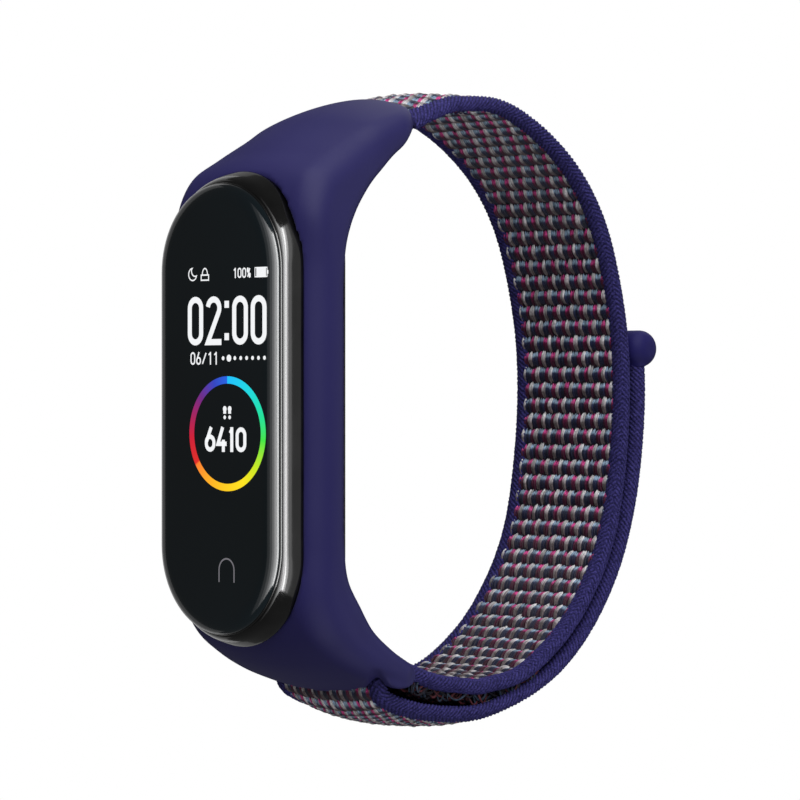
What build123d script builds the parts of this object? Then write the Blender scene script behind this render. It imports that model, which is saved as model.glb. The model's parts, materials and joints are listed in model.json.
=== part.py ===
from build123d import *
import math
import os

# Fitness tracker band, in millimetres.
# +X runs along the wrist's axis, -Y is the way the display faces, +Z is up.
# The origin is the middle of the wrist opening.

os.makedirs("parts", exist_ok=True)

# ---- driving dimensions ------------------------------------------------------------------
RIM_Y = -27.0                 # plane of the holder's rim beside the tracker
TRACKER_WIDTH = 17.9
TRACKER_HEIGHT = 46.9
TRACKER_FRONT = RIM_Y - 3.8   # face of the cover glass
TRACKER_BACK = RIM_Y + 8.2    # back of the lower case
GLASS_THICK = 0.9
WALL = 1.0                    # wall of the lower case
TUB_WIDTH = 16.0
TUB_HEIGHT = 45.0
FIT_GAP = 0.12                # room between the tracker and the holder
STRAP_WIDTH = 16.0
STRAP_THICK = 1.8
EDGE_WIDTH = 1.2              # round binding along each side of the strap

# Centre line of the strap: (radius, turn in degrees), a left turn is positive.
CROWN = (RIM_Y + 20.66, 30.92)
MAIN_ARCS = [(28.74, -28.0), (20.76, -42.0), (44.77, -34.5), (24.36, -33.5), (21.5, -63.0)]
RUN_TO_BAR = 2.0              # straight stretch before the strap turns round the bar
BAR_TURN = 1.65               # radius of the strap's centre line round the bar
FLAP_ARCS = [(26.4, 52.25), (24.6, 41.5), (46.87, 22.1)]
ENTRY_RADIUS = 14.0           # bend of the strap as it leaves the closed end of the holder
ENTRY_TURN = 12.0
SEGMENT_GAP = 0.08            # gap between two stretches of the flap


def save(builder, name):
    """Label a finished piece and write it to its own file."""
    builder.part.label = name
    export_step(builder.part, f"parts/{name}.step")


def facing(y):
    """Sketch plane at depth y. Its normal points to the front, -Y."""
    return Plane.XZ.offset(-y)


def stadium(height, width):
    """Upright slot outline inside the current sketch."""
    return SlotOverall(height, width, rotation=90)


def stadium_slab(y_back, y_front, height, width, mode=Mode.ADD):
    """Upright stadium plate between two depths, inside the current part."""
    with BuildSketch(facing(y_back)) as outline:
        stadium(height, width)
    extrude(outline.sketch, amount=y_back - y_front, mode=mode)


def box_at(x, y_low, y_high, z, width, height, radius=0.0, mode=Mode.ADD):
    """Rectangular plate facing the front, with rounded corners if a radius is given."""
    with BuildSketch(facing(y_high)) as outline:
        with Locations((x, z)):
            if radius > 0:
                RectangleRounded(width, height, radius)
            else:
                Rectangle(width, height)
    extrude(outline.sketch, amount=y_high - y_low, mode=mode)


def disc_at(x, y_low, y_high, z, radius, mode=Mode.ADD):
    """Round plate facing the front."""
    with BuildSketch(facing(y_high)) as outline:
        with Locations((x, z)):
            Circle(radius)
    extrude(outline.sketch, amount=y_high - y_low, mode=mode)


# ---- walking along tangent arcs in the side view -----------------------------------------
def step_arc(point, heading, radius, turn):
    """End point and heading after one arc. A left turn is positive."""
    side = 1 if turn > 0 else -1
    a = math.radians(heading)
    b = math.radians(heading + turn)
    y = point[0] + side * radius * (math.sin(b) - math.sin(a))
    z = point[1] - side * radius * (math.cos(b) - math.cos(a))
    return (y, z), heading + turn


def step_line(point, heading, length):
    """End point after a straight run."""
    a = math.radians(heading)
    return (point[0] + length * math.cos(a), point[1] + length * math.sin(a))


def shifted(point, heading, offset):
    """Point moved to the left of the heading."""
    a = math.radians(heading)
    return (point[0] - offset * math.sin(a), point[1] + offset * math.cos(a))


def offset_chain(start, heading, steps, offset):
    """Draw a chain of tangent arcs and lines, moved sideways by offset. Gives its ends."""
    point = start
    first = shifted(start, heading, offset)
    for radius, amount in steps:
        a = math.radians(heading)
        here = shifted(point, heading, offset)
        if radius == 0:
            point = step_line(point, heading, amount)
            Line(here, shifted(point, heading, offset))
        else:
            side = 1 if amount > 0 else -1
            JernArc(here, (math.cos(a), math.sin(a)), radius - side * offset, amount)
            point, heading = step_arc(point, heading, radius, amount)
    return first, shifted(point, heading, offset)


def ribbon(start, heading, steps, left, right, x_low, x_high, mode=Mode.ADD):
    """Bent strip between two offsets of a chain, from x_low to x_high."""
    with BuildSketch(Plane.YZ.offset(x_low)) as side_view:
        with BuildLine():
            a, b = offset_chain(start, heading, steps, left)
            c, d = offset_chain(start, heading, steps, right)
            Line(a, c)
            Line(b, d)
        make_face()
    extrude(side_view.sketch, amount=x_high - x_low, mode=mode)


def walk(start, heading, steps):
    """End point and heading of a chain; a radius of 0 is a straight run."""
    point = start
    for radius, amount in steps:
        if radius == 0:
            point = step_line(point, heading, amount)
        else:
            point, heading = step_arc(point, heading, radius, amount)
    return point, heading


# Start of the strap at the closed end of the holder, found by walking back from the crown.
entry_point, entry_heading = step_arc(CROWN, 180.0, ENTRY_RADIUS, ENTRY_TURN)
ENTRY_HEADING = entry_heading - 180.0
bar_start, bar_heading = walk(CROWN, 0.0, MAIN_ARCS + [(0, RUN_TO_BAR)])
bar_centre = shifted(bar_start, bar_heading, BAR_TURN)
flap_start, flap_heading = step_arc(bar_start, bar_heading, BAR_TURN, 180.0)

# ---- tracker -----------------------------------------------------------------------------
glass_back = TRACKER_FRONT + GLASS_THICK
with BuildPart() as cover_glass:
    stadium_slab(glass_back, TRACKER_FRONT, 44.2, 17.2)
    fillet(cover_glass.faces().sort_by(Axis.Y)[0].edges(), 0.8)
save(cover_glass, "cover_glass")

ring_back = glass_back + 0.3
with BuildPart() as bezel_ring:
    stadium_slab(ring_back, glass_back, 44.5, 17.5)
    stadium_slab(ring_back, glass_back, 42.0, 15.0, mode=Mode.SUBTRACT)
    fillet(bezel_ring.faces().sort_by(Axis.Y)[0].outer_wire().edges(), 0.12)
save(bezel_ring, "bezel_ring")

shoulder_back = RIM_Y - 0.5   # widest part of the upper case starts here
flange_back = RIM_Y - 0.1
skirt_back = RIM_Y + 0.8
with BuildPart() as upper_case:
    with BuildSketch(facing(ring_back)):
        stadium(44.9, 17.64)
    with BuildSketch(facing(shoulder_back)):
        stadium(TRACKER_HEIGHT, TRACKER_WIDTH)
    loft()
    stadium_slab(flange_back, shoulder_back, TRACKER_HEIGHT, TRACKER_WIDTH)
    stadium_slab(skirt_back, flange_back, TUB_HEIGHT, TUB_WIDTH)
    fillet(upper_case.faces().sort_by(Axis.Y)[0].edges(), 0.25)
    stadium_slab(skirt_back, ring_back, 41.6, 14.6, mode=Mode.SUBTRACT)
save(upper_case, "upper_case")

seal_back = skirt_back + 0.25
with BuildPart() as case_seal:
    stadium_slab(seal_back, skirt_back, TUB_HEIGHT - 0.4, TUB_WIDTH - 0.4)
    stadium_slab(seal_back, skirt_back, TUB_HEIGHT - 1.6, TUB_WIDTH - 1.6, mode=Mode.SUBTRACT)
save(case_seal, "case_seal")

WINDOW_Z = 3.0
CONTACT_Z = -13.5
CONTACT_X = 2.6
with BuildPart() as lower_case:
    stadium_slab(TRACKER_BACK, seal_back, TUB_HEIGHT, TUB_WIDTH)
    fillet(lower_case.faces().sort_by(Axis.Y)[-1].edges(), 3.3)
    with BuildPart(mode=Mode.PRIVATE) as tub_hollow:
        stadium_slab(TRACKER_BACK - WALL, seal_back, TUB_HEIGHT - 2 * WALL, TUB_WIDTH - 2 * WALL)
        fillet(tub_hollow.faces().sort_by(Axis.Y)[-1].edges(), 2.3)
    add(tub_hollow.part, mode=Mode.SUBTRACT)
    box_at(0, TRACKER_BACK - 2, TRACKER_BACK + 1, WINDOW_Z, 7.4, 10.0, 2.0, mode=Mode.SUBTRACT)
    for side in (-1, 1):
        disc_at(side * CONTACT_X, TRACKER_BACK - 2, TRACKER_BACK + 1, CONTACT_Z, 1.05,
                mode=Mode.SUBTRACT)
save(lower_case, "lower_case")

with BuildPart() as sensor_window:
    box_at(0, TRACKER_BACK - WALL - 0.1, TRACKER_BACK + 0.3, WINDOW_Z, 7.3, 9.9, 1.95)
    fillet(sensor_window.faces().sort_by(Axis.Y)[-1].edges(), 0.35)
save(sensor_window, "sensor_window")

with BuildPart() as charge_contacts:
    for side in (-1, 1):
        disc_at(side * CONTACT_X, TRACKER_BACK - WALL, TRACKER_BACK - 0.05, CONTACT_Z, 1.0)
        disc_at(side * CONTACT_X, TRACKER_BACK - WALL - 0.3, TRACKER_BACK - WALL, CONTACT_Z, 1.5)
save(charge_contacts, "charge_contacts")

panel_back = glass_back + 1.15
with BuildPart() as display_panel:
    box_at(0, glass_back + 0.1, panel_back, 3.5, 13.4, 26.0, 1.0)
save(display_panel, "display_panel")

with BuildPart() as touch_key_pad:
    disc_at(0, glass_back + 0.05, glass_back + 0.25, -15.6, 2.5)
save(touch_key_pad, "touch_key_pad")

BOARD_FRONT = RIM_Y - 1.0
BOARD_BACK = BOARD_FRONT + 0.7
with BuildPart() as main_board:
    stadium_slab(BOARD_BACK, BOARD_FRONT, 40.6, 13.8)
    box_at(5.6, BOARD_FRONT, BOARD_BACK, 8.0, 4.0, 5.0, mode=Mode.SUBTRACT)
    box_at(-5.8, BOARD_FRONT, BOARD_BACK, -6.0, 3.0, 4.0, mode=Mode.SUBTRACT)
save(main_board, "main_board")

FLEX_THICK = 0.15
with BuildPart() as display_flex:
    with BuildSketch(Plane.YZ.offset(-3.0)):
        with BuildLine():
            turn = (BOARD_FRONT - panel_back) / 2 - FLEX_THICK / 2
            steps = [(0, 3.0), (turn, 180.0), (0, 3.0)]
            start = (panel_back + FLEX_THICK / 2, -6.5)
            a, b = offset_chain(start, -90.0, steps, FLEX_THICK / 2)
            c, d = offset_chain(start, -90.0, steps, -FLEX_THICK / 2)
            Line(a, c)
            Line(b, d)
        make_face()
    extrude(amount=6.0)
save(display_flex, "display_flex")

CAN_Z = 14.0
CAN_WIDTH = 9.4
CAN_HEIGHT = 5.6
CAN_WALL = 0.15
CAN_DEPTH = 1.1
# x, z, width, height, thickness of each chip on the back of the main board
CHIPS = [(-2.5, CAN_Z, 3.8, 4.0, 0.7), (2.4, CAN_Z, 3.4, 4.4, 0.7), (-4.4, -8.6, 2.6, 2.6, 0.6),
         (4.3, -8.4, 2.4, 3.0, 0.7), (0.0, -8.9, 1.6, 1.0, 0.5)]
with BuildPart() as board_chips:
    for x, z, width, height, thick in CHIPS:
        box_at(x, BOARD_BACK, BOARD_BACK + thick, z, width, height)
save(board_chips, "board_chips")

with BuildPart() as shield_can:
    box_at(0, BOARD_BACK, BOARD_BACK + CAN_DEPTH, CAN_Z, CAN_WIDTH, CAN_HEIGHT)
    box_at(0, BOARD_BACK, BOARD_BACK + CAN_DEPTH - CAN_WALL, CAN_Z, CAN_WIDTH - 2 * CAN_WALL,
           CAN_HEIGHT - 2 * CAN_WALL, mode=Mode.SUBTRACT)
save(shield_can, "shield_can")

with BuildPart() as antenna:
    with BuildSketch(facing(BOARD_BACK + 0.8)):
        with BuildLine():
            outer = CenterArc((0, 13.5), 6.8, 25, 130)
            inner = CenterArc((0, 13.5), 6.6, 25, 130)
            Line(outer @ 0, inner @ 0)
            Line(outer @ 1, inner @ 1)
        make_face()
    extrude(amount=0.8)
save(antenna, "antenna")

BATTERY_FRONT = RIM_Y + 1.2
BATTERY_BACK = BATTERY_FRONT + 3.7
with BuildPart() as battery:
    box_at(0, BATTERY_FRONT, BATTERY_BACK, 2.0, 11.6, 19.0)
    fillet(battery.edges().filter_by(Axis.Z), 0.9)
save(battery, "battery")

with BuildPart() as battery_leads:
    for x in (-1.2, 1.2):
        box_at(x, BOARD_BACK, BATTERY_FRONT + 1.2, -8.0, 0.5, 0.5)
        box_at(x, BATTERY_FRONT + 0.7, BATTERY_FRONT + 1.2, -7.7, 0.5, 0.4)
save(battery_leads, "battery_leads")

MOTOR_Z = -15.6
MOTOR_FRONT = BOARD_BACK
MOTOR_BACK = MOTOR_FRONT + 3.0
with BuildPart() as motor_can:
    disc_at(0, MOTOR_FRONT + 0.3, MOTOR_BACK, MOTOR_Z, 4.2)
    disc_at(0, MOTOR_FRONT + 0.3, MOTOR_BACK - 0.2, MOTOR_Z, 4.0, mode=Mode.SUBTRACT)
save(motor_can, "motor_can")

with BuildPart() as motor_base:
    disc_at(0, MOTOR_FRONT, MOTOR_FRONT + 0.3, MOTOR_Z, 4.2)
save(motor_base, "motor_base")

with BuildPart() as motor_shaft:
    disc_at(0, MOTOR_FRONT + 0.3, MOTOR_BACK - 0.2, MOTOR_Z, 0.4)
save(motor_shaft, "motor_shaft")

with BuildPart() as motor_rotor:
    rotor_low = MOTOR_FRONT + 0.6
    rotor_high = MOTOR_BACK - 0.5
    with BuildSketch(facing(rotor_high)):
        with Locations((0, MOTOR_Z)):
            Circle(3.6)
            Rectangle(8.0, 4.0, align=(Align.CENTER, Align.MIN), mode=Mode.SUBTRACT)
            Circle(1.1)
            Circle(0.44, mode=Mode.SUBTRACT)
    extrude(amount=rotor_high - rotor_low)
save(motor_rotor, "motor_rotor")

SENSOR_BOARD_FRONT = BATTERY_BACK + 0.25
SENSOR_BOARD_BACK = SENSOR_BOARD_FRONT + 0.5
with BuildPart() as sensor_board:
    box_at(0, SENSOR_BOARD_FRONT, SENSOR_BOARD_BACK, -2.5, 8.2, 25.0, 1.5)
save(sensor_board, "sensor_board")

with BuildPart() as sensor_leds:
    for offset in (-3.1, 3.1):
        box_at(0, SENSOR_BOARD_BACK, SENSOR_BOARD_BACK + 0.4, WINDOW_Z + offset, 1.6, 1.0)
save(sensor_leds, "sensor_leds")

with BuildPart() as photodiode:
    box_at(0, SENSOR_BOARD_BACK, SENSOR_BOARD_BACK + 0.4, WINDOW_Z, 2.4, 2.4)
save(photodiode, "photodiode")

with BuildPart() as light_baffle:
    baffle_back = TRACKER_BACK - WALL - 0.1
    box_at(0, SENSOR_BOARD_BACK, baffle_back, WINDOW_Z, 6.6, 9.2, 1.6)
    box_at(0, SENSOR_BOARD_BACK, baffle_back, WINDOW_Z, 2.8, 2.8, mode=Mode.SUBTRACT)
    for offset in (-3.1, 3.1):
        box_at(0, SENSOR_BOARD_BACK, baffle_back, WINDOW_Z + offset, 2.0, 1.4, mode=Mode.SUBTRACT)
save(light_baffle, "light_baffle")

with BuildPart() as contact_springs:
    for side in (-1, 1):
        disc_at(side * CONTACT_X, SENSOR_BOARD_BACK, TRACKER_BACK - WALL - 0.3, CONTACT_Z, 0.7)
        disc_at(side * CONTACT_X, SENSOR_BOARD_BACK, TRACKER_BACK - WALL - 0.3, CONTACT_Z, 0.35,
                mode=Mode.SUBTRACT)
save(contact_springs, "contact_springs")


# ---- holder ------------------------------------------------------------------------------
# Each cross-section of the moulded holder spans from a point on its outer crest to a point on
# its wrist side. A row holds: depth behind the rim and height of the outer point, the same of
# the inner point, half width, how far the outer and the wrist side fall away at the edges,
# and the corner radii outside and inside.
UPPER_END = [
    (17.4, 31.95, 17.3, 27.8, 9.2, 3.1, 2.9, 1.2, 1.0),
    (14.5, 31.15, 15.4, 27.0, 9.3, 2.9, 2.75, 1.3, 0.95),
    (11.4, 30.1, 13.3, 26.3, 9.4, 2.7, 2.4, 1.5, 0.9),
    (8.9, 29.15, 11.6, 25.5, 9.55, 2.4, 1.75, 1.7, 1.0),
    (6.4, 28.1, 10.0, 24.6, 9.7, 2.1, 1.1, 2.0, 1.2),
    (2.4, 25.9, 7.9, 21.9, 10.1, 1.5, 0.4, 2.4, 1.4),
    (0.0, 23.6, 6.3, 19.4, 10.5, 1.1, 0.1, 2.6, 1.5),
    (-1.1, 19.8, 5.1, 17.0, 10.7, 0.9, 0.05, 2.8, 1.6),
]
LOWER_END = [
    (-1.1, -19.4, 5.1, -16.8, 10.7, 0.9, 0.05, 2.8, 1.6),
    (0.2, -23.3, 6.6, -19.0, 10.5, 1.1, 0.05, 2.6, 1.5),
    (2.6, -25.5, 8.6, -21.2, 10.1, 1.4, 0.05, 2.4, 1.4),
    (6.6, -27.3, 11.0, -23.0, 9.8, 1.7, 0.05, 2.2, 1.2),
    (11.3, -29.0, 13.0, -24.3, 9.5, 2.0, 0.05, 2.0, 1.1),
    (16.0, -30.4, 17.6, -26.1, 9.3, 2.0, 0.05, 2.0, 1.1),
]
STRAIGHT = [(-1.2, z, 4.8, z, 10.8, 0.9, 0.05, 2.8, 1.6) for z in (13.5, 6.5, 0.0, -6.5, -13.5)]


def holder_section(depth_out, z_out, depth_in, z_in, half, drop_out, drop_in, r_out, r_in):
    """One closed cross-section of the holder, on its own plane."""
    inner = Vector(0, RIM_Y + depth_in, z_in)
    outer = Vector(0, RIM_Y + depth_out, z_out)
    tall = (outer - inner).length
    up = (outer - inner).normalized()
    plane = Plane(origin=inner, x_dir=(1, 0, 0), z_dir=Vector(1, 0, 0).cross(up))
    with BuildSketch(plane) as section:
        with BuildLine():
            ThreePointArc((-half, -drop_in), (0, 0), (half, -drop_in))
            Line((half, -drop_in), (half, tall - drop_out))
            ThreePointArc((half, tall - drop_out), (0, tall), (-half, tall - drop_out))
            Line((-half, tall - drop_out), (-half, -drop_in))
        make_face()
        corners = section.vertices().group_by(Axis.Y)
        fillet(corners[0], r_in)
        fillet(section.vertices().group_by(Axis.Y)[-1], r_out)
    return section.sketch


# Local directions at the bar: along the strap towards the tip, and up towards the wrist.
along = Vector(0, math.cos(math.radians(flap_heading)), math.sin(math.radians(flap_heading)))
wristward = Vector(0, -along.Z, along.Y)
bar_origin = Vector(0, bar_centre[0], bar_centre[1])
SLOT_HALF = STRAP_WIDTH / 2 + 0.3
BAR_HALF_THICK = 0.6
BAR_LENGTH = 3.0
SLOT_RADIUS = BAR_TURN + STRAP_THICK / 2 + 0.2
CHEEK_REACH = 2.9             # cheeks beside the bar end this far past its front centre
POCKET_DEPTH = 3.2
POCKET_HALF = STRAP_WIDTH / 2 + 0.25
POCKET_THICK = STRAP_THICK + 0.2
ARCH_DROP = 2.7               # the fixed end is arched across its width
POCKET_SLOPE = 17.0


def bar_plane(x):
    """Side-view plane at the bar: local x along the strap, local y towards the wrist."""
    return Plane(origin=bar_origin + Vector(x, 0, 0), x_dir=along, z_dir=(1, 0, 0))


def bar_block(t_low, t_high, n_low, n_high, half_width, mode):
    """Block in the bar's own directions, centred across the strap."""
    with BuildSketch(bar_plane(-half_width)) as block:
        with Locations(((t_low + t_high) / 2, (n_low + n_high) / 2)):
            Rectangle(t_high - t_low, n_high - n_low)
    extrude(block.sketch, amount=2 * half_width, mode=mode)


def arched_strip(plane, half_width, thick, drop, length, mode=Mode.ADD):
    """Strip with an arched cross-section, drawn on a plane and pushed out along it."""
    with BuildSketch(plane) as arch:
        with BuildLine():
            ThreePointArc((-half_width, -drop + thick / 2), (0, thick / 2),
                          (half_width, -drop + thick / 2))
            ThreePointArc((-half_width, -drop - thick / 2), (0, -thick / 2),
                          (half_width, -drop - thick / 2))
            Line((-half_width, -drop - thick / 2), (-half_width, -drop + thick / 2))
            Line((half_width, -drop - thick / 2), (half_width, -drop + thick / 2))
        make_face()
    extrude(arch.sketch, amount=length, mode=mode)


# The pocket runs from inside the closed end out to the end face, rising towards the crown.
pocket_out = Vector(0, math.cos(math.radians(POCKET_SLOPE)), math.sin(math.radians(POCKET_SLOPE)))
pocket_up = Vector(0, -pocket_out.Z, pocket_out.Y)
pocket_floor = Vector(0, entry_point[0], entry_point[1]) - pocket_out * POCKET_DEPTH
pocket_plane = Plane(origin=pocket_floor, x_dir=(-1, 0, 0), z_dir=pocket_out)

with BuildPart() as holder:
    loft([holder_section(*row) for row in UPPER_END + STRAIGHT + LOWER_END])
    # rebate for the tracker's flange and the opening for its lower case
    stadium_slab(RIM_Y, RIM_Y - 10, TRACKER_HEIGHT + 2 * FIT_GAP, TRACKER_WIDTH + 2 * FIT_GAP,
                 mode=Mode.SUBTRACT)
    stadium_slab(RIM_Y + 20, RIM_Y - 10, TUB_HEIGHT + 2 * FIT_GAP, TUB_WIDTH + 2 * FIT_GAP,
                 mode=Mode.SUBTRACT)
    # slotted end: round lip, open space beside the bar, cheeks cut back, bar put back
    with BuildSketch(bar_plane(-SLOT_HALF)):
        Circle(SLOT_RADIUS)
    extrude(amount=2 * SLOT_HALF, mode=Mode.SUBTRACT)
    bar_block(0, 12, -8, 8, SLOT_HALF, Mode.SUBTRACT)
    bar_block(-1.4, 12, -8, -1.1, 15, Mode.SUBTRACT)
    bar_block(CHEEK_REACH, 12, -8, 8, 15, Mode.SUBTRACT)
    with BuildSketch(bar_plane(-SLOT_HALF - 0.5)):
        with Locations((BAR_LENGTH / 2 - BAR_HALF_THICK, 0)):
            SlotOverall(BAR_LENGTH, 2 * BAR_HALF_THICK)
    extrude(amount=2 * SLOT_HALF + 1)
    # closed end: arched pocket for the fixed end of the strap
    arched_strip(pocket_plane, POCKET_HALF, POCKET_THICK, ARCH_DROP, 14, mode=Mode.SUBTRACT)
save(holder, "holder")

# ---- fixed end of the strap --------------------------------------------------------------
RIVET_X = (-4.5, 0.0, 4.5)
RIVET_RADIUS = 0.5
RIVET_INSET = 1.3


def arch_drop_at(x):
    """How far the arched end lies below its middle at a distance x from it."""
    radius = (POCKET_HALF ** 2 + ARCH_DROP ** 2) / (2 * ARCH_DROP)
    return radius - math.sqrt(radius ** 2 - x ** 2)


def rivet_cylinders(radius, length, mode=Mode.ADD):
    """Small pegs through the fixed end, standing across the strip."""
    for x in RIVET_X:
        middle = pocket_floor + pocket_out * RIVET_INSET - pocket_up * arch_drop_at(abs(x))
        base = Plane(origin=middle - pocket_up * (length / 2) + Vector(x, 0, 0), z_dir=pocket_up)
        with BuildSketch(base) as peg:
            Circle(radius)
        extrude(peg.sketch, amount=length, mode=mode)


entry_direction = Vector(0, math.cos(math.radians(ENTRY_HEADING)),
                         math.sin(math.radians(ENTRY_HEADING)))
entry_plane = Plane(origin=Vector(0, *entry_point) - entry_direction * 0.02,
                    x_dir=(-1, 0, 0), z_dir=entry_direction)
with BuildPart() as strap_anchor_tab:
    tab_plane = pocket_plane.offset(0.1)
    arched_strip(tab_plane, STRAP_WIDTH / 2, STRAP_THICK, ARCH_DROP - 0.15, 2 * POCKET_DEPTH)
    split(bisect_by=entry_plane, keep=Keep.BOTTOM)
    rivet_cylinders(RIVET_RADIUS + 0.02, 2 * STRAP_THICK, mode=Mode.SUBTRACT)
save(strap_anchor_tab, "strap_anchor_tab")

with BuildPart() as anchor_rivets:
    rivet_cylinders(RIVET_RADIUS, STRAP_THICK - 0.2)
save(anchor_rivets, "anchor_rivets")

# ---- strap -------------------------------------------------------------------------------
FIELD_HALF = STRAP_WIDTH / 2 - EDGE_WIDTH
STRAP_STEPS = [(ENTRY_RADIUS, -ENTRY_TURN)] + MAIN_ARCS + [(0, RUN_TO_BAR), (BAR_TURN, 180.0)]
HALF_THICK = STRAP_THICK / 2


def strap_strip(name, start, heading, steps, x_low, x_high):
    """One strip of the strap's own thickness, saved under its name."""
    with BuildPart() as strip:
        ribbon(start, heading, steps, HALF_THICK, -HALF_THICK, x_low, x_high)
    save(strip, name)
    return strip


strap_strip("strap_band", entry_point, ENTRY_HEADING, STRAP_STEPS, -FIELD_HALF, FIELD_HALF)
strap_strip("strap_edge_left", entry_point, ENTRY_HEADING, STRAP_STEPS,
            -STRAP_WIDTH / 2, -FIELD_HALF)
strap_strip("strap_edge_right", entry_point, ENTRY_HEADING, STRAP_STEPS,
            FIELD_HALF, STRAP_WIDTH / 2)

FOLD_STEPS = [(ENTRY_RADIUS, -ENTRY_TURN), (MAIN_ARCS[0][0], -9.0)]
FOLD_THICK = 0.8
with BuildPart() as strap_fold:
    ribbon(entry_point, ENTRY_HEADING, FOLD_STEPS, -HALF_THICK, -HALF_THICK - FOLD_THICK,
           -FIELD_HALF + 0.3, FIELD_HALF - 0.3)
save(strap_fold, "strap_fold")

with BuildPart() as fold_stitches:
    for column in range(-4, 5):
        ribbon(*walk(entry_point, ENTRY_HEADING, [FOLD_STEPS[0], (MAIN_ARCS[0][0], -6.4)]),
               [(MAIN_ARCS[0][0], -1.6)], -HALF_THICK - FOLD_THICK,
               -HALF_THICK - FOLD_THICK - 0.18, column * 1.35 - 0.45, column * 1.35 + 0.45)
save(fold_stitches, "fold_stitches")

# ---- flap --------------------------------------------------------------------------------
SPLIT_A = 30.4                # where the flap's first arc is divided
SPLIT_B = 9.1                 # where its second arc is divided
(RADIUS_A, TURN_A), (RADIUS_B, TURN_B), (RADIUS_C, TURN_C) = FLAP_ARCS
FLAP_PIECES = [
    [(RADIUS_A, SPLIT_A)],
    [(RADIUS_A, TURN_A - SPLIT_A), (RADIUS_B, SPLIT_B)],
    [(RADIUS_B, TURN_B - SPLIT_B)],
    [(RADIUS_C, TURN_C)],
]


def trimmed(start, heading, steps):
    """The same chain, shortened a little at both ends."""
    first_radius, first_turn = steps[0]
    last_radius, last_turn = steps[-1]
    cut_first = math.degrees(SEGMENT_GAP / 2 / first_radius)
    cut_last = math.degrees(SEGMENT_GAP / 2 / last_radius)
    point, turned = step_arc(start, heading, first_radius, cut_first)
    if len(steps) == 1:
        return point, turned, [(first_radius, first_turn - cut_first - cut_last)]
    return point, turned, [(first_radius, first_turn - cut_first),
                           (last_radius, last_turn - cut_last)]


here = flap_start
heading_here = flap_heading
for number, piece_steps in enumerate(FLAP_PIECES, start=1):
    hinge = shifted(here, heading_here, -HALF_THICK)
    print(f"flap_{number} hinge y {hinge[0]:.3f} z {hinge[1]:.3f}")
    start, turned, steps = trimmed(here, heading_here, piece_steps)
    strap_strip(f"flap_{number}", start, turned, steps, -FIELD_HALF, FIELD_HALF)
    with BuildPart() as flap_edges:
        for side in (-1, 1):
            x_ends = sorted((side * FIELD_HALF, side * STRAP_WIDTH / 2))
            ribbon(start, turned, steps, HALF_THICK, -HALF_THICK, *x_ends)
    save(flap_edges, f"flap_{number}_edges")
    tip_start = here
    tip_heading = heading_here
    here, heading_here = walk(here, heading_here, piece_steps)

with BuildPart() as hook_patch:
    patch_start, patch_heading = step_arc(tip_start, tip_heading, RADIUS_C, 2.0)
    ribbon(patch_start, patch_heading, [(RADIUS_C, TURN_C - 5.0)], HALF_THICK + 0.15, HALF_THICK,
           -FIELD_HALF + 1.2, FIELD_HALF - 1.2)
save(hook_patch, "hook_patch")

CAP_RADIUS = 1.7
CAP_WIDTH = 16.8
cap_point = step_line(here, heading_here, 1.3)
cap_centre = shifted(cap_point, heading_here, -0.55)
with BuildPart() as end_cap:
    with BuildSketch(Plane.YZ.offset(-CAP_WIDTH / 2)):
        with Locations(cap_centre):
            Circle(CAP_RADIUS)
    extrude(amount=CAP_WIDTH)
    fillet(end_cap.edges().filter_by(GeomType.CIRCLE), 1.2)
    ribbon(tip_start, tip_heading, [(RADIUS_C, TURN_C)], HALF_THICK + 0.02, -HALF_THICK - 0.02,
           -STRAP_WIDTH / 2 - 0.05, STRAP_WIDTH / 2 + 0.05, mode=Mode.SUBTRACT)
save(end_cap, "end_cap")
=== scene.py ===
import json
import math

import bmesh
import bpy
import numpy as np
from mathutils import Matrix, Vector


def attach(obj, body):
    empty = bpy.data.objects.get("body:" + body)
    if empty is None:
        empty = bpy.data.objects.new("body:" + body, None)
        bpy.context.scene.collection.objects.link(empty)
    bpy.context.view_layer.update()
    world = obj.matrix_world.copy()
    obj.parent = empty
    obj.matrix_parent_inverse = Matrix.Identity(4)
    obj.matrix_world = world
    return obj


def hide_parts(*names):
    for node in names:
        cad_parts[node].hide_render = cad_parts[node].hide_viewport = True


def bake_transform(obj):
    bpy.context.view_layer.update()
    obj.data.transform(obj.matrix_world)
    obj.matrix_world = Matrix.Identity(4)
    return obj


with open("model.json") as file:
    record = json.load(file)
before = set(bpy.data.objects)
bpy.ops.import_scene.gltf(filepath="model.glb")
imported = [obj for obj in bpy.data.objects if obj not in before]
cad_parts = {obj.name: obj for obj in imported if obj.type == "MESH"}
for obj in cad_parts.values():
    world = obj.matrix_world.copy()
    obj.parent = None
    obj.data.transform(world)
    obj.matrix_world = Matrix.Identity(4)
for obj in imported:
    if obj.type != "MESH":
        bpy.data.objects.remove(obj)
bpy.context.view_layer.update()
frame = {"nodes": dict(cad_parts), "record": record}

MM = 0.001
RNG = np.random.default_rng(11)

# ---- main dimensions, in millimetres, the same as the CAD's
RIM_Y = -27.0
GLASS_FRONT = RIM_Y - 3.8
STRAP_HALF = 8.0
FIELD_HALF = 6.7
CORE_HALF_THICK = 0.45
STRAP_HALF_THICK = 0.84
BINDING_X = 6.98
BINDING_WIDE = 1.02
BINDING_THICK = 0.76
ROW_PITCH = 1.65
UNIT_PITCH = 1.95

CROWN = (RIM_Y + 20.66, 30.92)
ENTRY_RADIUS = 14.0
ENTRY_ANGLE = 12.0
MAIN_ARCS = [(28.74, -28.0), (20.76, -42.0), (44.77, -34.5), (24.36, -33.5), (21.5, -63.0)]
BAR_RUN = 2.0
BAR_TURN = 1.65
FLAP_ARCS = [(26.4, 52.25), (24.6, 41.5), (46.87, 22.1)]
INSIDE = 3.0


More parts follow.
